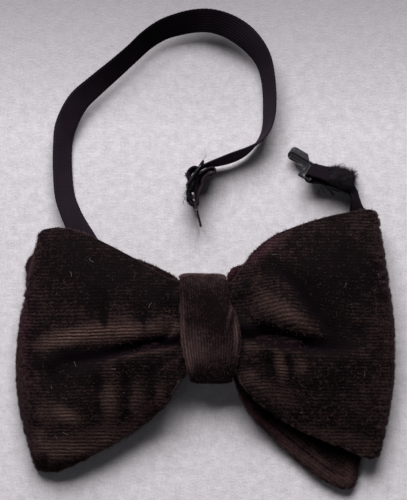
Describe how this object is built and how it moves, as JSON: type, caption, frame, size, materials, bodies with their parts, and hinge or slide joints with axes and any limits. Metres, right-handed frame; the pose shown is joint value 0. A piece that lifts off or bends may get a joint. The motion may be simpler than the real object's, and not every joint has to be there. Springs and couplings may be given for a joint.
{
  "type": "bow tie",
  "caption": "Pre-tied velvet bow tie: layered, pinched bow wings under a knot band, on an adjustable elastic neck strap with slide, eye plate and hook clip, laid open.",
  "frame": {"origin": "middle of the knot band's flat back, on the surface the tie lies on", "axes": "+Z out of the bow's front, +Y from the knot towards the arch of the neck strap, +X towards the wing from which the hook clip's end of the strap comes"},
  "size_m": [0.1338, 0.1695, 0.0213],
  "materials": {
    "velvet": "ribbed pile",
    "elastic": "woven, matte",
    "dark_metal": "satin"
  },
  "bodies": {
    "root": {"knot_band": "velvet", "back_bow": "velvet", "front_bow": "velvet", "neck_strap": "elastic", "slide_adjuster": "dark_metal", "eye_plate": "dark_metal", "hook_clip": "dark_metal"}
  },
  "joints": []
}
